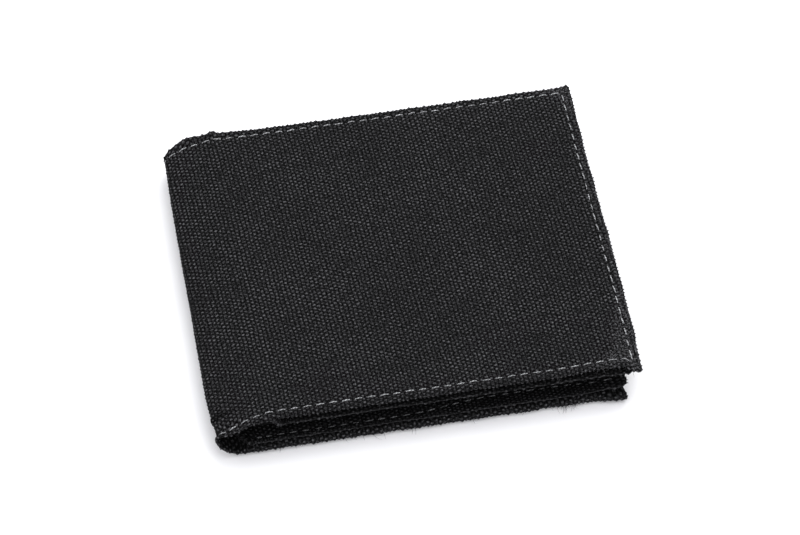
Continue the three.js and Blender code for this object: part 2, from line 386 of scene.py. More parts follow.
def stitch_parts(sheet, runs, width=STITCH_WIDTH, lift=STITCH_LIFT, seed=3):
    """A short twisted tube for each stitch, whose two ends dive into the cloth."""
    starts = np.concatenate([run[0] for run in runs])
    ends = np.concatenate([run[1] for run in runs])
    count = len(starts)
    draw = np.random.default_rng(seed)
    along = (ends - starts) * draw.uniform(0.86, 1.05, (count, 1))
    slant = draw.normal(0.07, 0.03, (count, 1))
    strength = draw.uniform(0.6, 1.12, (count, 1))
    phase = draw.uniform(0, math.pi, (count, 1, 1))
    shade = draw.uniform(0, 1, (count, 1, 1))

    t = np.linspace(0, 1, STITCH_RINGS)[:, None]
    across = np.stack([-along[:, 1], along[:, 0]], 1)
    line = starts[:, None] + t * along[:, None] + (t - 0.5) * (across * slant)[:, None]
    arch = np.sin(math.pi * t[:, 0]) ** 0.55
    height = (lift + STITCH_DIVE) * arch * strength - STITCH_DIVE
    centre = sheet.point(line[..., 0], line[..., 1], height)
    up = unit(sheet.point(line[..., 0], line[..., 1], height + 0.1) - centre)
    side = unit(np.cross(np.gradient(centre, axis=1), up))

    ring = np.linspace(0, 2 * math.pi, STITCH_SIDES, endpoint=False)
    taper = 0.35 + 0.65 * np.sin(math.pi * t) ** 0.4
    lobes = 1 + 0.2 * np.cos(2 * (ring - phase - PLY_TURNS * math.pi * t))
    spread = (width / 2 * taper * lobes)[..., None]
    points = tube_points(centre, side, up, spread, STITCH_SIDES, STITCH_SQUASH)
    cloth = np.stack(np.broadcast_arrays(t, ring / (2 * math.pi), shade), -1).reshape(-1, 3)
    faces = tube_faces(count, STITCH_RINGS, STITCH_SIDES)
    return points, faces, cloth, (starts[:, 0] + ends[:, 0]) / 2


def fibre_parts(sheet, s, q, seed):
    """Broken ends of the yarns, which stand off the cloth at the given places."""
    count = len(s)
    draw = np.random.default_rng(seed)
    lean = draw.normal(0, 0.55, (count, 3))
    length = draw.uniform(0.5, 1.8, (count, 1, 1))
    bow = draw.normal(0, 0.3, (count, 1, 3)) - np.array([0, 0, 0.2])

    foot = sheet.point(s, q, -0.1)
    out = unit(sheet.point(s, q, 0.4) - foot)
    t = np.linspace(0, 1, FIBRE_RINGS)[:, None]
    centre = foot[:, None] + length * ((out + lean * 0.6)[:, None] * t + bow * t * t)
    centre[..., 2] = np.maximum(centre[..., 2], FIBRE_WIDTH / 2)
    tangent = np.gradient(centre, axis=1)
    side = unit(np.cross(tangent, np.array([0.3, 0.2, 1.0])))
    up = unit(np.cross(side, tangent))
    spread = FIBRE_WIDTH / 2 * (1 - 0.7 * t)[..., None]
    points = tube_points(centre, side, up, spread, FIBRE_SIDES)
    faces = tube_faces(count, FIBRE_RINGS, FIBRE_SIDES)
    return points, faces, np.zeros_like(points), s


def whole(part):
    """A sheet's or a seam's part with all of its faces."""
    points, faces, cloth, _ = part
    return points, faces.reshape(-1, faces.shape[-1]), cloth


def between(part, low, high):
    """The faces or stitches of a part whose middle lies between two values of s."""
    points, faces, cloth, mid_s = part
    chosen = faces[(mid_s >= low) & (mid_s < high)]
    return points, chosen.reshape(-1, faces.shape[-1]), cloth


# ---- materials ----


class Shader:
    """Shorthand for a node tree: each method adds a node and returns its output."""

    def __init__(self, name):
        self.material = bpy.data.materials.new(name)
        self.material.use_nodes = True
        self.tree = self.material.node_tree
        self.tree.nodes.clear()
        self.output = self.tree.nodes.new("ShaderNodeOutputMaterial")

    def put(self, socket, value):
        if isinstance(value, bpy.types.NodeSocket):
            self.tree.links.new(value, socket)
        elif value is not None:
            socket.default_value = value

    def math(self, operation, *values):
        node = self.tree.nodes.new("ShaderNodeMath")
        node.operation = operation
        for socket, value in zip(node.inputs, values):
            self.put(socket, value)
        return node.outputs[0]

    def times(self, first, *others):
        for other in others:
            first = self.math("MULTIPLY", first, other)
        return first

    def plus(self, first, second):
        return self.math("ADD", first, second)

    def size(self, value):
        return self.math("ABSOLUTE", value)

    def wave(self, value):
        """A sine wave that is 0 at each whole number."""
        return self.math("SINE", self.times(value, math.pi))

    def ramp(self, value, low, high, to_low=0.0, to_high=1.0):
        node = self.tree.nodes.new("ShaderNodeMapRange")
        node.interpolation_type = "SMOOTHSTEP"
        for socket, item in zip(node.inputs, (value, low, high, to_low, to_high)):
            self.put(socket, item)
        return node.outputs[0]

    def join(self, x, y, z=0.0):
        node = self.tree.nodes.new("ShaderNodeCombineXYZ")
        for socket, value in zip(node.inputs, (x, y, z)):
            self.put(socket, value)
        return node.outputs[0]

    def cloth(self):
        """The piece's own cloth numbers as three values."""
        node = self.tree.nodes.new("ShaderNodeAttribute")
        node.attribute_name = "weave"
        split = self.tree.nodes.new("ShaderNodeSeparateXYZ")
        self.tree.links.new(node.outputs["Vector"], split.inputs[0])
        return tuple(split.outputs)

    def noise(self, vector, scale, detail=3.0):
        node = self.tree.nodes.new("ShaderNodeTexNoise")
        self.put(node.inputs["Vector"], vector)
        self.put(node.inputs["Scale"], scale)
        self.put(node.inputs["Detail"], detail)
        return node.outputs[0]

    def dice(self, vector):
        """One random value for each whole-numbered vector."""
        node = self.tree.nodes.new("ShaderNodeTexWhiteNoise")
        self.put(node.inputs["Vector"], vector)
        return node.outputs["Value"]

    def mix(self, share, first, second):
        node = self.tree.nodes.new("ShaderNodeMix")
        node.data_type = "RGBA"
        self.put(node.inputs["Factor"], share)
        for key, value in (("A", first), ("B", second)):
            socket = [i for i in node.inputs if i.name == key and i.type == "RGBA"][0]
            self.put(socket, value if isinstance(value, bpy.types.NodeSocket) else (*value, 1))
        return [o for o in node.outputs if o.type == "RGBA"][0]

    def finish(self, color, roughness, height, relief, sheen=0.0, specular=0.3):
        """Principled cloth, with relief millimetres of bump at height 1."""
        bump = self.tree.nodes.new("ShaderNodeBump")
        bump.inputs["Distance"].default_value = relief * MM
        self.put(bump.inputs["Height"], height)
        cloth = self.tree.nodes.new("ShaderNodeBsdfPrincipled")
        self.put(cloth.inputs["Base Color"], color)
        self.put(cloth.inputs["Roughness"], roughness)
        self.put(cloth.inputs["Specular IOR Level"], specular)
        cloth.inputs["Sheen Weight"].default_value = sheen
        cloth.inputs["Sheen Roughness"].default_value = 0.5
        self.tree.links.new(bump.outputs[0], cloth.inputs["Normal"])
        self.tree.links.new(cloth.outputs[0], self.output.inputs[0])
        return self.material


YARN_BUMP = 0.1
BLACK = (0.0017, 0.0017, 0.0017)


def float_highlight_and_tone(m, u, v, wave_u, wave_v, over):
    """How light the floats are: a painted highlight on each float's top that falls to painted shade
    between the yarns, with single floats, whole yarns and large patches differing in tone at random.
    """
    width = m.math("POWER", m.size(wave_u), 1.5)
    length = m.math("POWER", m.size(wave_v), 0.75)
    # painted highlight on the floats' tops, none in the gaps between the yarns
    raised = m.ramp(m.times(width, length, m.math("SIGN", over)), 0.0, 0.9)
    cell_u, cell_v = m.math("FLOOR", u), m.math("FLOOR", v)
    single = m.dice(m.join(cell_u, cell_v, 1.0))
    yarn = m.dice(m.join(0.0, cell_v, 2.0))
    patches = m.noise(m.join(u, m.times(v, 0.5)), 0.05)
    glow = m.plus(m.times(single, 0.75), m.times(yarn, 0.25))
    glow = m.times(glow, m.ramp(patches, 0.25, 0.75, 0.6, 1.3))
    return m.times(raised, m.plus(m.times(glow, 0.6), 0.1))


def edge_wear_and_highlight(m, u, v, edge, rim_highlight):
    """Light specks where an edge is rubbed, which is wear, and a painted highlight line along the
    very edge.
    """
    specks = m.ramp(m.noise(m.join(u, m.times(v, 0.55)), 2.8), 0.57, 0.66)
    glow = m.times(m.ramp(edge, -2.5, 1.5, 1.0, 0.0), specks, 1.9)
    if rim_highlight:
        # painted highlight: a thin light line along the very edge
        glow = m.plus(glow, m.ramp(m.size(m.plus(edge, 0.1)), 0.05, 0.4, rim_highlight, 0.0))
    return glow


def canvas_material(name, dark, light, fineness=1.0, rim_highlight=0.0):
    """Plain weave: the stout yarns' floats are painted lighter on their tops, a painted highlight,
    and the gaps between the yarns are painted darker, a painted shade; the floats also differ in
    tone at random. The last argument is how much lighter the painted highlight line along an edge
    is."""
    m = Shader(name)
    u, v, edge = m.cloth()
    u, v = m.times(u, fineness), m.times(v, fineness)
    wave_u, wave_v = m.wave(u), m.wave(v)
    over = m.times(wave_u, wave_v)
    fibres = m.noise(m.join(m.times(u, 2.7), m.times(v, 1.4)), 1.0, 2.0)
    sparkle = m.ramp(fibres, 0.42, 0.72)
    # painted shade: the gaps between the warp columns are darkened
    column_gap_shade = m.plus(m.times(m.size(wave_u), 0.7), 0.3)
    glow = float_highlight_and_tone(m, u, v, wave_u, wave_v, over)
    glow = m.times(glow, m.plus(m.times(sparkle, 1.6), 0.5))
    glow = m.plus(glow, m.times(sparkle, column_gap_shade, 0.36))
    glow = m.plus(glow, edge_wear_and_highlight(m, u, v, edge, rim_highlight))
    # painted shade: the turned-in side of a hem is darkened as if in the wallet's shadow
    glow = m.times(glow, m.ramp(edge, 60, TURNED_IN * 0.9, 1.0, 0.4))
    color = m.mix(glow, dark, light)
    height = m.math("MAXIMUM", over, m.times(over, -0.3))
    height = m.plus(height, m.times(fibres, 0.5))
    rough = m.ramp(fibres, 0.2, 0.8, 0.95, 0.72)
    specular = m.ramp(over, 0.2, 1.0, 0.013, 0.14)
    return m.finish(color, rough, height, YARN_BUMP, specular=specular)


def thread_material(name, light_tone):
    """Two plies twisted together, of a light grey that falls to near black in the groove between
    them, which is painted shade. The cloth attribute holds the place along and round a stitch.
    """
    m = Shader(name)
    along, turn, shade = m.cloth()
    twist = m.plus(m.times(turn, 2.0), m.times(along, -PLY_TURNS))
    plies = m.wave(m.times(twist, 2.0))
    fibres = m.noise(m.join(m.times(along, 9.0), m.times(turn, 14.0), shade), 1.5)
    light = m.plus(m.ramp(plies, -1, 0.6, 0.0, 0.6), m.times(fibres, 0.45))
    light = m.times(light, m.ramp(shade, 0, 1, 0.6, 1.05))
    # painted shade in the groove between the plies
    color = m.mix(light, (0.044, 0.045, 0.047), light_tone)
    height = m.plus(plies, fibres)
    return m.finish(color, 0.62, height, 0.05, sheen=0.05, specular=0.35)


def lining_material(name, dark, light, rough, sheen=0.1):
    """Close twill: fine diagonal ribs."""
    m = Shader(name)
    u, v, _ = m.cloth()
    ribs = m.math("SINE", m.times(m.plus(u, m.times(v, 0.9)), 14.0))
    fibres = m.noise(m.join(m.times(u, 6.0), m.times(v, 6.0)), 1.3)
    patches = m.noise(m.join(u, v), 0.06)
    light_share = m.times(m.ramp(ribs, -0.6, 1), m.ramp(patches, 0.3, 0.7, 0.5, 1.0))
    color = m.mix(light_share, dark, light)
    rough = m.ramp(fibres, 0.3, 0.7, rough, rough + 0.15)
    return m.finish(color, rough, m.plus(ribs, fibres), 0.04, sheen, sheen * 3)


def backing_material():
    """Pressed fibres without a weave."""
    m = Shader("backing")
    u, v, _ = m.cloth()
    fibres = m.noise(m.join(u, v), 1.8, 6.0)
    flecks = m.noise(m.join(m.times(u, 4.0), v), 2.5, 2.0)
    color = m.mix(m.ramp(flecks, 0.45, 0.7), (0.03, 0.03, 0.03), (0.09, 0.09, 0.088))
    return m.finish(color, 0.95, fibres, 0.12)


def fibre_material():
    m = Shader("fibre")
    tone = m.ramp(m.noise(None, 900.0), 0.35, 0.65)
    return m.finish(m.mix(tone, (0.009, 0.009, 0.009), (0.105, 0.105, 0.11)), 0.8, tone, 0.0)


CANVAS = canvas_material("canvas", BLACK, (0.101, 0.101, 0.105))
# its edges carry a painted highlight line
INNER_CANVAS = canvas_material("inner_canvas", BLACK, (0.061, 0.061, 0.0635), rim_highlight=0.6)
POCKET_CLOTH = canvas_material("pocket_cloth", (0.0026, 0.0026, 0.0026), (0.074, 0.075, 0.08), 1.5)
# near black: a black tape, darkened further so that where it shows in the gap between the halves it
# stands for that gap's shade, partly painted shade
TAPE = lining_material("tape", (0.0015, 0.0015, 0.0015), (0.009, 0.009, 0.0095), 0.8, 0.03)
LINING = lining_material("lining", (0.004, 0.004, 0.005), (0.022, 0.022, 0.026), 0.42)
BACKING = backing_material()
THREAD = thread_material("thread", (0.61, 0.62, 0.63))
# painted shade: a darker copy of the same thread, for the stitches inside the wallet where shade
# falls
SHADED_THREAD = thread_material("shaded_thread", (0.3, 0.304, 0.308))
FIBRE = fibre_material()


# ---- outer canvas: one cloth from the rear half's free end, round the fold, to the front's ----


def bezier(a, b, c, d, count=80):
    t = np.linspace(0, 1, count)[:-1, None]
    a, b, c, d = (np.array(p, float) for p in (a, b, c, d))
    return a * (1 - t) ** 3 + 3 * b * t * (1 - t) ** 2 + 3 * c * t * t * (1 - t) + d * t**3


PAST_END = 20.0  # the profile runs straight on this far beyond both free ends, for the hems
SLOPE_RISE = math.radians(21.5)


def fold_profile():
    """The canvas's outer face seen along the fold, as points and the arc length at each.
    It leaves the table in a wide arc, turns tightly at the top and slopes up to the front half."""
    rear_x, _ = hinge_place("fold_rear")
    spine_x, spine_z = hinge_place("fold_spine")
    front_x, _ = hinge_place("fold_front")
    leave = (rear_x + 6.4, 0.0)
    outmost = (FOLD_END, spine_z - 0.6)
    on_slope = (spine_x + 0.7, spine_z + 1.35)
    land = (front_x + 2.4, TOP)
    slope = np.array([math.cos(SLOPE_RISE), math.sin(SLOPE_RISE)])
    runs = [
        np.linspace((REAR_END + PAST_END, 0), leave, 200)[:-1],
        bezier(leave, (leave[0] - 3.6, 0), (FOLD_END, outmost[1] - 3.2), outmost),
        bezier(outmost, (FOLD_END, outmost[1] + 1.1), on_slope - slope, on_slope),
        bezier(on_slope, on_slope + 6.4 * slope, (land[0] - 1.9, TOP), land),
        np.linspace(land, (FRONT_END + PAST_END, TOP), 200),
    ]
    points = np.concatenate(runs)
    length = np.concatenate([[0], np.cumsum(np.hypot(*np.diff(points, axis=0).T))])
    return points, length - PAST_END


profile, profile_s = fold_profile()
LENGTH = profile_s[-1] - PAST_END
heading = unit(np.gradient(profile, profile_s, axis=0))


def on_profile(s):
    return np.stack([np.interp(s, profile_s, profile[:, k]) for k in (0, 1)], -1)


def shell_place(s, q, depth):
    """Depth is measured square to the profile, towards the wallet's inside."""
    middle = on_profile(s)
    run_x = np.interp(s, profile_s, heading[:, 0])
    run_z = np.interp(s, profile_s, heading[:, 1])
    return middle[..., 0] + run_z * depth, q, middle[..., 1] - run_x * depth


def rear_s(x):
    return REAR_END - x


def front_s(x):
    return LENGTH - (FRONT_END - x)


def profile_s_near(x, z):
    return profile_s[np.argmin(np.hypot(profile[:, 0] - x, profile[:, 1] - z))]


BEND_START = rear_s(profile[np.argmin(profile[:, 0])][0] + 6.5)
BEND_TOP = front_s(hinge_place("fold_front")[0])


def shell_radius(s):
    """The hems are pressed down to one cloth's thickness where they go round the fold."""
    in_fold = smooth(s, BEND_START - 4, BEND_START + 1) * (1 - smooth(s, BEND_TOP - 1, BEND_TOP + 4))
    return (HEM_HEIGHT + (CLOTH - HEM_HEIGHT) * in_fold) / 2


def pressed(distance, depth=0.3, width=0.65):
    """A seam's furrow."""
    return -depth * hill(distance, width)


FOLD_S = profile_s_near(FOLD_END, hinge_place("fold_spine")[1] - 0.4)
KINK_S = front_s(hinge_place("fold_front")[0] + 1.2)
SLOPE_S = (FOLD_S + KINK_S) / 2
CLOTH_NEAR = NEAR + 1.0  # the near hems lie a little inside the CAD's


def near_seam(s):
    """The near seam keeps its distance to the hem, but comes closer to it round the fold."""
    return CLOTH_NEAR + BOTTOM_INSET - 1.1 * hill(s - FOLD_S, 12)


def shell_relief(s, q):
    seam_q = np.minimum(np.abs(q - near_seam(s)), np.abs(MOUTH - SIDE_INSET - q))
    seam_s = np.minimum(np.abs(s - SIDE_INSET), np.abs(LENGTH - SIDE_INSET - s))
    inside = smooth(np.minimum(q - NEAR, MOUTH - q), 0, 6) * smooth(np.minimum(s, LENGTH - s), 0, 6)
    slow = 0.16 * wander(s, q, 23, 11) + 0.07 * wander(s, q, 8, 12)
    edge_band = 1 - smooth(np.minimum(q - NEAR, MOUTH - q), 1, 5)
    ridge = 0.35 * hill(s - KINK_S, 1.6) * (0.25 + 0.75 * edge_band)
    pinch = 1.1 * hill(s - FOLD_S, 6) * (1 - smooth(q - NEAR, 0, 14))
    return pressed(np.minimum(seam_q, seam_s)) + slow * inside + ridge - pinch


def ripple(s, q, seed):
    return 0.14 * wander(s, q, 5, seed) + 0.08 * wander(s, q, 1.6, seed + 1)


def near_edge_shift(s, q):
    """Along q: both near corners stick out, the hem beside them pulls in, and so does the fold."""
    to_near = 1 - smooth(q - CLOTH_NEAR, 0, 6)
    near_hem = 1 - smooth(q - CLOTH_NEAR, 0.2, 3.2)
    from_front = LENGTH - s
    front_ear = 0.9 * (1 - smooth(from_front, 2.6, 4.6)) - 0.5 * hill(from_front - 9, 6)
    front_ear = front_ear + 1.5 * (1 - smooth(from_front, 0, 4.5))
    rear_ear = (1.0 + 0.5 * wander(s, q, 1.8, 25)) * hill(s, 4.5)
    drawn_in = 1.1 * hill(s - FOLD_S, 3.6)
    rear_half = 1 - smooth(s, FOLD_S - 3, KINK_S + 7)
    shift = to_near * (ripple(s, 0 * q, 21) + drawn_in - front_ear - rear_ear)
    return shift + near_hem * (0.5 - 2.2 * rear_half)


def mouth_edge_shift(s, q):
    """Along q: the corner and the kink stick out and the fold's end is drawn in."""
    to_mouth = 1 - smooth(MOUTH - q, 0, 5)
    mouth_hem = 1 - smooth(MOUTH - q, 0.2, 3.2)
    ear = 0.5 * hill(LENGTH - s, 2.2)
    kink = 0.7 * hill(s - KINK_S, 9) + 0.6 * hill(s - KINK_S, 1.1)
    drawn_in = 1.7 * hill(s - FOLD_S, 2.6)
    shift = to_mouth * (ripple(s, 0 * q, 21) + ear + kink - drawn_in)
    return shift + mouth_hem * 1.2 * hill(s - SLOPE_S, 3.4)


def free_end_shift(s, q):
    """Along s: the front's free end bows out beyond its near corner, and the rear's is ragged."""
    to_front, to_rear = 1 - smooth(LENGTH - s, 0, 4), 1 - smooth(s, 0, 5)
    front = 0.45 * smooth(q - NEAR, 4, 16) - 0.15 * (1 - smooth(q - NEAR, 0, 12))
    front = front + 0.4 * hill(MOUTH - q, 6)
    rear = 0.5 + 0.7 * hill(q - NEAR, 5) * (1 + 0.6 * wander(s, q, 1.8, 26))
    uneven = ripple(0 * s, q, 23)
    return to_front * (uneven + front) + to_rear * (uneven - rear)


def shell_drift(s, q):
    """Where the real cloth's outline leaves the straight."""
    return free_end_shift(s, q), near_edge_shift(s, q) + mouth_edge_shift(s, q)


def shell_wear(s, q):
    """The canvas is rubbed most at the front half's corners and along its free end."""
    from_front = LENGTH - s
    near_corner = 9 * hill(from_front - 2, 7) * hill(q - NEAR - 6, 10)
    mouth_corner = 3 * hill(from_front - 3, 5) * hill(MOUTH - q - 3, 5)
    return near_corner + mouth_corner + 1.2 * hill(from_front, 6)


def build_shell():
    flap = HEM_WIDTH - HEM_HEIGHT / 2
    shapes = (shell_relief, shell_drift, None, shell_wear)
    return Sheet((0.0, LENGTH, CLOTH_NEAR, MOUTH), shell_radius, flap, shell_place, *shapes)


def outer_seam(sheet):
    near, mouth = CLOTH_NEAR + BOTTOM_INSET, MOUTH - SIDE_INSET
    low, high = SIDE_INSET, LENGTH - SIDE_INSET
    runs = [
        curved_run(low, high, near_seam),
        seam_run((high, near), (high, mouth)),
        seam_run((high, mouth), (low, mouth)),
        seam_run((low, mouth), (low, near)),
    ]
    return stitch_parts(sheet, runs)


def at(s):
    """The point in the frame, in metres, on the profile's face in the middle of the wallet."""
    x, z = on_profile(s)
    return Vector((x * MM, 0, z * MM))


RUBBED_X = 38.0  # where the rear half's near hem is rubbed most


def frayed(half_name, sheet, s_near, s_mouth, seed):
    """Fibres on the near hem at s_near and on the mouth hem at s_mouth."""
    draw = np.random.default_rng(seed)
    s = np.concatenate([s_near, s_mouth])
    angle = draw.uniform(0.3, 0.62, len(s)) * math.pi
    reach = sheet.radius(s) * (angle - 1)
    q = np.where(np.arange(len(s)) < len(s_near), CLOTH_NEAR - reach, MOUTH + reach)
    parts = [whole(fibre_parts(sheet, s, q, seed + 1))]
    piece = write_piece(f"{half_name}_frayed_fibres", parts, FIBRE, "canvas")
    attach(piece, f"{half_name}_half")


def fray_shell(sheet):
    """Fibres all along the hems, with more at the rear's rubbed spot and the front's near corner."""
    draw = np.random.default_rng(91)
    rubbed = draw.normal(rear_s(RUBBED_X), 3.0, 26)
    rear_near = np.concatenate([rubbed, draw.uniform(3, 90, 26)])
    rear_mouth = draw.uniform(3, 90, 14)
    frayed("rear", sheet, rear_near, rear_mouth, 92)
    corner = LENGTH - np.abs(draw.normal(4, 3, 12)) - 2.5
    front_near = np.concatenate([corner, LENGTH - draw.uniform(5, 90, 18)])
    front_mouth = LENGTH - draw.uniform(4, 90, 24)
    frayed("front", sheet, front_near, front_mouth, 94)


BEND_EASE = 0.8  # a distance inside each end of a stretch that reaches a second body


def shell_backs(sheet):
    """The canvas's other face: woven where the open wallet shows it, plain under the linings."""
    overlap = 1.2  # with the hems' flaps
    inner_q = (NEAR + HEM_WIDTH - overlap, MOUTH - HEM_WIDTH + overlap)
    fold_range = (rear_s(rear_low[0] + 12), front_s(front_low[0] + 8))
    rear_range = (HEM_WIDTH - 1.5, fold_range[0])
    front_range = (fold_range[1], LENGTH - HEM_WIDTH + 1.5)
    return [
        sheet.back(fold_range, inner_q, CLOTH * 0.85, 1),
        sheet.back(rear_range, inner_q, CLOTH * 0.95, 4, no_weave),
        sheet.back(front_range, inner_q, CLOTH * 0.95, 4, no_weave),
    ]


def shell_stretches():
    """The lengths that the cloth and its seam are cut into. Each has its name, where it starts and
    ends, its body, the body at its other end if it reaches a second one, and the CAD node that it
    replaces."""
    spine_x, spine_z = hinge_place("fold_spine")
    front_x, _ = hinge_place("fold_front")
    lower_start = rear_s(hinge_place("fold_rear")[0] + 6.0)
    bend_start = profile_s_near(FOLD_END, spine_z - 1.6)
    slope_start = profile_s_near(spine_x + 1.9, spine_z + 1.9)
    kink_start, front_start = front_s(front_x - 4.5), front_s(front_x + 4.0)
    return [
        ("rear_canvas", -math.inf, lower_start, "rear_half", None, "rear_shell"),
        ("spine_lower_canvas", lower_start, bend_start, "rear_half", "spine_wall", "spine_wall"),
        ("spine_bend_canvas", bend_start, slope_start, "spine_wall", "spine_slope", None),
        ("spine_slope_canvas", slope_start, kink_start, "spine_slope", None, "spine_slope"),
        ("spine_kink_canvas", kink_start, front_start, "spine_slope", "front_half", None),
        ("front_canvas", front_start, math.inf, "front_half", None, "front_shell"),
    ]


def dress_shell():
    """Cuts the cloth and its seam where the bodies meet, and joins each stretch that lies on one
    body to that body.
    """
    sheet = build_shell()
    fray_shell(sheet)
    layers = [sheet.skin(), *shell_backs(sheet)]
    seam = outer_seam(sheet)
    for name, low, high, body, next_body, node in shell_stretches():
        cuts = [between(layer, low, high) for layer in layers]
        canvas = write_piece(name, [cut for cut in cuts if len(cut[1])], CANVAS, "canvas")
        seam_name = name.replace("canvas", "seam_stitches")
        stitches = write_piece(seam_name, [between(seam, low, high)], THREAD, "thread")
        for piece in (canvas, stitches):
            if next_body:
                at(low + BEND_EASE)
                at(high - BEND_EASE)
                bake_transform(piece)
            else:
                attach(piece, body)
        if node:
            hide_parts(node)
        if node in ("rear_shell", "front_shell"):
            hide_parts(node.replace("shell", "outer_seam_thread"))


# ---- inside of one half ----

PANEL = 0.6  # thickness of the inner wall
PANEL_FLAP = 5.0
PANEL_STITCH_LIFT = 0.12
FOLD_SIDE_INSET = 3.5  # seam to edge beside the bead
CARD_FLAP = 3.0
CARD_SEAM = 5.2  # a card pocket's seam to its mouth
TAPE_WIDTH = 1.0
TAPE_SIDES = 20
TAPE_STEP = 0.8  # between its stations
TAPE_COVER = 0.25  # its thickness over the pockets
TAPE_DROP = 0.8  # the visible bottom run lies this much nearer to the sewn edge than the CAD's, so that its near-black wall shows in the gap between the halves


class Half:
    """Levels are measured from the half's outer face towards the wallet's inside."""

    def __init__(self, name, sign):
        self.name, self.sign = name, sign
        self.body, self.pocket = f"{name}_half", f"{name}_pocket_wall"

    def place(self, level):
        def placed(s, q, depth):
            n = level - depth
            return s, q, n if self.sign > 0 else TOP - n

        return placed

    def sheet(self, outline, radius, flap, level, relief=None, drift=None, bend=None):
        place = self.place(level)
        return Sheet(outline, radius, flap, place, relief, drift, bend, None, self.sign < 0)

    def frame_box(self, part):
        """(s_low, s_high, q_low, q_high) and the (low, high) levels of a CAD node."""
        low, high = node_box(f"{self.name}_{part}")
        n = (low[2], high[2]) if self.sign > 0 else (TOP - high[2], TOP - low[2])
        return (low[0], high[0], low[1], high[1]), n

    def write(self, part, parts, material, slot, nodes=()):
        piece = write_piece(f"{self.name}_{part}", parts, material, slot)
        if nodes:
            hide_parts(*[f"{self.name}_{node}" for node in nodes])
        return piece

    def hang(self, piece):
        """Bakes the piece's place into its mesh."""
        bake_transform(piece)


def constant(value):
    return lambda s: 0 * s + value


def dress_linings(half):
    """The backing and the lining, each with its own slight unevenness."""
    for part, material, uneven in (("backing", BACKING, 0.01), ("lining", LINING, 0.03)):
        outline, (low, high) = half.frame_box(part)

        def relief(s, q, uneven=uneven):
            return uneven * (wander(s, q, 9, 31) - 1)

        sheet = half.sheet(outline, constant((high - low) / 2), 1.5, high, relief)
        parts = [whole(sheet.skin(3, no_weave))]
        piece = half.write(f"{part}_sheet", parts, material, part, [part])
        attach(piece, half.body)


def panel_seam(outline):
    """The near seam leaves the hem towards the free end and comes back a little at the corner."""
    _, s_high, q_low, _ = outline

    def seam(s):
        rise, fall = smooth(s, s_high - 59, s_high - 35), smooth(s, s_high - 17, s_high)
        return q_low + INNER_INSET + 2.3 * rise * (1 - 0.45 * fall)

    return seam


def panel_moves(half, outline):
    """How the wall's near edge and near corners lie, which differs between the halves."""
    s_low, s_high, q_low, q_high = outline
    if half.sign > 0:
        inset, past_end, lip_height, corner_height, corner_cut = 0.5, 1.5, 0.45, 1.6, 3.0
    else:
        inset, past_end, lip_height, corner_height, corner_cut = 0.6, -0.4, 0.35, 0.0, 5.0

    def drift(s, q):
        uneven = 0.15 * wander(s, 0 * q, 4, 43) + 0.08 * wander(s, 0 * q, 1.3, 44)
        edge = 1 - smooth(np.minimum(q - q_low, q_high - q), 0, 4)
        to_near, to_free = 1 - smooth(q - q_low, 0, 4), 1 - smooth(s_high - s, 0, 6)
        lumps = 0.6 * to_near * to_free * wander(s, q, 1.7, 45)
        rounded = corner_cut * (1 - smooth(q - q_low, 0, 5)) * (1 - smooth(s - s_low, 0, 10))
        return past_end * to_free + lumps + rounded, uneven * edge + inset * to_near - lumps

    def bend(s, q):
        corner = corner_height * (1 - smooth(q - q_low, 3, 22)) * hill(s_high - s, 5.5)
        lip = lip_height * (1 - smooth(q - q_low, 0, 3))
        return corner * (1 + 0.12 * wander(s, q, 2.2, 46)) + lip

    return drift, bend


def dress_inner_panel(half):
    """The inner wall, whose edge beside the fold is rolled into a bead."""
    outline, (low, high) = half.frame_box("inner_panel")
    s_low, s_high, q_low, q_high = outline
    bead = (high - low) / 2
    bead_rise = high - low - PANEL
    sewn = panel_seam(outline)

    def radius(s):
        return PANEL / 2 + (bead - PANEL / 2) * (1 - smooth(s - s_low, 1.3, 2.6))

    def relief(s, q):
        rise = bead_rise * (1 - smooth(s - s_low, 1.1, 2.3))
        seam = np.minimum(np.abs(q - sewn(s)), np.abs(q_high - SIDE_INSET - q))
        seam = np.minimum(seam, np.abs(s_high - SIDE_INSET - s))
        return rise + pressed(seam, 0.25, 0.6) + 0.05 * wander(s, q, 12, 41)

    moves = panel_moves(half, outline)
    sheet = half.sheet(outline, radius, PANEL_FLAP, low + PANEL, relief, *moves)
    inside = (s_low + 4, s_high - 4), (q_low + 4, q_high - 4)
    back = sheet.back(*inside, PANEL * 0.6, 4, no_weave)
    parts = [whole(sheet.skin()), whole(back)]
    piece = half.write("inner_panel_cloth", parts, INNER_CANVAS, "pocket_cloth", ["inner_panel"])
    half.hang(piece)
    sew_inner_panel(half, sheet, sewn)


def sew_inner_panel(half, sheet, sewn):
    """The seam that joins the wall to its shell, and the one along its two open edges."""
    s_low, s_high, _, q_high = sheet.outline
    fold, free, mouth = s_low + FOLD_SIDE_INSET, s_high - SIDE_INSET, q_high - SIDE_INSET
    inner = [
        curved_run(fold, free, sewn),
        seam_run((free, sewn(free)), (free, mouth - 1.5)),
    ]
    edge = [
        seam_run((fold, sewn(fold) + 4), (fold, mouth)),
        seam_run((fold, mouth), (free - 1.5, mouth)),
    ]
    for seam, runs in (("inner_seam", inner), ("panel_edge", edge)):
        parts = [whole(stitch_parts(sheet, runs, lift=PANEL_STITCH_LIFT, seed=5))]
        piece = half.write(f"{seam}_stitches", parts, SHADED_THREAD, "thread", [f"{seam}_thread"])
        half.hang(piece)


def card_shape(outline, order):
    """A card pocket's relief, drift and bend: a turned and stitched mouth, which sags."""
    s_low, s_high, _, q_high = outline

    def relief(s, q):
        hem = smooth(q, q_high - 6.3, q_high - 5.7)
        return 0.04 * hem + pressed(np.abs(q - (q_high - CARD_SEAM)), 0.06, 0.4)

    def bend(s, q):
        across = np.clip((s - s_low) / (s_high - s_low), 0, 1)
        sag = np.sin(math.pi * across) * smooth(q, q_high - 25, q_high)
        return -0.3 * sag + 0.04 * (wander(s, q, 14, 50 + order) - 1)

    return relief, None, bend


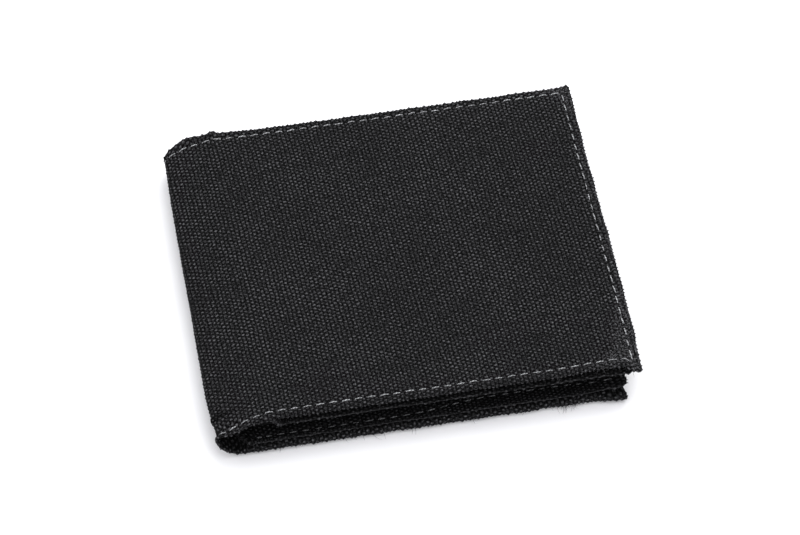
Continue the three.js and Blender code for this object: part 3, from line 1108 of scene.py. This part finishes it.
def dress_card_sheets(half):
    """Stepped pocket sheets, each with a turned and stitched mouth."""
    seams = []
    for order, tier in enumerate(("back", "middle", "front")):
        node = f"card_sheet_{tier}"
        outline, (low, high) = half.frame_box(node)
        s_low, s_high, _, q_high = outline
        shape = card_shape(outline, order)
        sheet = half.sheet(outline, constant((high - low) / 2), CARD_FLAP, high, *shape)
        parts = [whole(sheet.skin(2, no_weave))]
        half.hang(half.write(f"card_pocket_{tier}", parts, POCKET_CLOTH, "pocket_cloth", [node]))
        seam_q = q_high - CARD_SEAM
        run = seam_run((s_low + 1.5, seam_q), (s_high - 1.5, seam_q), POCKET_STITCH_PITCH)
        seams.append(whole(stitch_parts(sheet, [run], 0.36, 0.12, 60 + order)))
    half.hang(half.write("card_pocket_stitches", seams, SHADED_THREAD, "thread"))


def tape_line(outline):
    """Stations along the tape: down beside the fold, along the bottom and up the free side."""
    s_low, s_high, q_low, q_high = outline
    m = TAPE_WIDTH / 2
    left, right, bottom = s_low + m, s_high - m, q_low + m
    path = np.array([(left, q_high), (left, bottom), (right, bottom), (right, q_high)])
    stations = []
    for start, end in zip(path, path[1:]):
        count = max(2, round(float(np.hypot(*(end - start))) / TAPE_STEP))
        stations.append(start + np.arange(count)[:, None] / count * (end - start))
    line = np.concatenate([*stations, path[-1:]])
    near_run = (1 - smooth(line[:, 1] - q_low, 1, 5)) * smooth(line[:, 0] - s_low, 2, 16)
    line[:, 1] -= TAPE_DROP * near_run
    return line


def tape_top(half, line, limit):
    """The level of the tape's top, which steps down with the pockets towards the mouth."""
    _, (_, back_high) = half.frame_box("card_sheet_back")
    top = np.full(len(line), back_high)
    for tier in ("middle", "front"):
        (_, _, _, mouth), (_, tier_high) = half.frame_box(f"card_sheet_{tier}")
        step = (tier_high - back_high) * (1 - smooth(line[:, 1], mouth - 1, mouth + 3))
        top = np.maximum(top, back_high + step)
    return np.minimum(top + TAPE_COVER, limit)


def squared(wave):
    """Turns a circle's wave into that of a square with rounded corners."""
    return np.sign(wave) * np.abs(wave) ** 0.45


def dress_binding(half):
    """Tape folded over the sides and the bottom of the card pockets."""
    outline, (low, high) = half.frame_box("pocket_binding")
    line = tape_line(outline)
    top = tape_top(half, line, high)[:, None]
    run = unit(np.gradient(line, axis=0))
    ring = np.linspace(0, 2 * math.pi, TAPE_SIDES, endpoint=False)
    aside = squared(np.cos(ring)) * TAPE_WIDTH / 2
    s = line[:, :1] - run[:, 1:] * aside
    q = line[:, 1:] + run[:, :1] * aside
    n = (low + top) / 2 + squared(np.sin(ring)) * (top - low) / 2
    points = np.stack(half.place(0.0)(s, q, -n), -1).reshape(-1, 3)
    faces = tube_faces(1, len(line), TAPE_SIDES)[0][:, :: half.sign]
    travel = np.concatenate([[0], np.cumsum(np.hypot(*np.diff(line, axis=0).T))])
    cloth = np.stack(np.broadcast_arrays(travel[:, None], n, FAR_IN), -1).reshape(-1, 3)
    piece = half.write("pocket_tape", [(points, faces, cloth)], TAPE, "tape", ["pocket_binding"])
    half.hang(piece)


def dress_half(half):
    dress_linings(half)
    dress_inner_panel(half)
    dress_card_sheets(half)
    dress_binding(half)


# ---- floor, light and camera ----

# Metres here, like Blender.
FLOOR_SIZE = 3.0  # from its middle to each side
FLOOR_GAP = 0.00005  # below the lowest fibre or yarn
KEY_PLACE = (0.25, 0.5, 0.8)


def make_floor(z):
    m = Shader("floor")
    grain = m.noise(None, 300.0, 2.0)
    color = m.mix(m.ramp(grain, 0.3, 0.7), (0.93, 0.93, 0.935), (0.95, 0.95, 0.95))
    material = m.finish(color, 0.9, grain, 0.0)
    size = FLOOR_SIZE
    mesh = bpy.data.meshes.new("floor")
    corners = [(-size, -size, z), (size, -size, z), (size, size, z), (-size, size, z)]
    mesh.from_pydata(corners, [], [(0, 1, 2, 3)])
    mesh.materials.append(material)
    floor = bpy.data.objects.new("floor", mesh)
    bpy.context.scene.collection.objects.link(floor)


def make_light(name, place, target, size, power):
    light = bpy.data.lights.new(name, "AREA")
    light.shape = "DISK"
    light.size = size
    light.energy = power
    lamp = bpy.data.objects.new(name, light)
    lamp.location = place
    lamp.rotation_euler = (Vector(place) - Vector(target)).to_track_quat("Z", "Y").to_euler()
    bpy.context.scene.collection.objects.link(lamp)


def make_world(horizon, zenith):
    """A white studio, which lights the wallet more from above than from around."""
    world = bpy.data.worlds.new("studio")
    world.use_nodes = True
    tree = world.node_tree
    background = tree.nodes["Background"]
    background.inputs[0].default_value = (0.99, 0.99, 1.02, 1)
    place = tree.nodes.new("ShaderNodeTexCoord")
    split = tree.nodes.new("ShaderNodeSeparateXYZ")
    strength = tree.nodes.new("ShaderNodeMapRange")
    strength.inputs["To Min"].default_value = horizon
    strength.inputs["To Max"].default_value = zenith
    tree.links.new(place.outputs["Generated"], split.inputs[0])
    rays = tree.nodes.new("ShaderNodeLightPath")
    seen = tree.nodes.new("ShaderNodeMath")
    seen.operation = "MAXIMUM"
    tree.links.new(split.outputs["Z"], strength.inputs["Value"])
    tree.links.new(strength.outputs[0], seen.inputs[0])
    tree.links.new(rays.outputs["Is Camera Ray"], seen.inputs[1])
    tree.links.new(seen.outputs[0], background.inputs[1])
    bpy.context.scene.world = world


CAMERA_AZIMUTH = -11.14
CAMERA_ELEVATION = 54.78
CAMERA_ROLL = 0.94
CAMERA_LENS = 142.4
CAMERA_DISTANCE = 0.8406
CAMERA_TARGET = (0.00086, -0.00078, 0.006)


def make_camera():
    a, e = math.radians(CAMERA_AZIMUTH), math.radians(CAMERA_ELEVATION)
    back = Vector((math.sin(a) * math.cos(e), -math.cos(a) * math.cos(e), math.sin(e)))
    level = Vector((0, 0, 1)).cross(back).normalized()
    turned = Matrix.Rotation(math.radians(CAMERA_ROLL), 3, back)
    right = turned @ level
    up = back.cross(right)
    data = bpy.data.cameras.new("camera")
    data.lens = CAMERA_LENS
    data.clip_start, data.clip_end = 0.01, 10
    camera = bpy.data.objects.new("camera", data)
    place = Vector(CAMERA_TARGET) + back * CAMERA_DISTANCE
    camera.matrix_world = Matrix.Translation(place) @ Matrix((right, up, back)).transposed().to_4x4()
    bpy.context.scene.collection.objects.link(camera)
    bpy.context.scene.camera = camera


def make_studio():
    low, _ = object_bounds()
    make_floor(low.z - FLOOR_GAP)
    make_world(horizon=0.39, zenith=1.68)
    make_light("key", KEY_PLACE, target=(0, 0, 0), size=0.9, power=4.8)
    bpy.context.scene.view_settings.view_transform = "Standard"
    make_camera()


dress_shell()
for half in (Half("rear", 1), Half("front", -1)):
    dress_half(half)
make_studio()
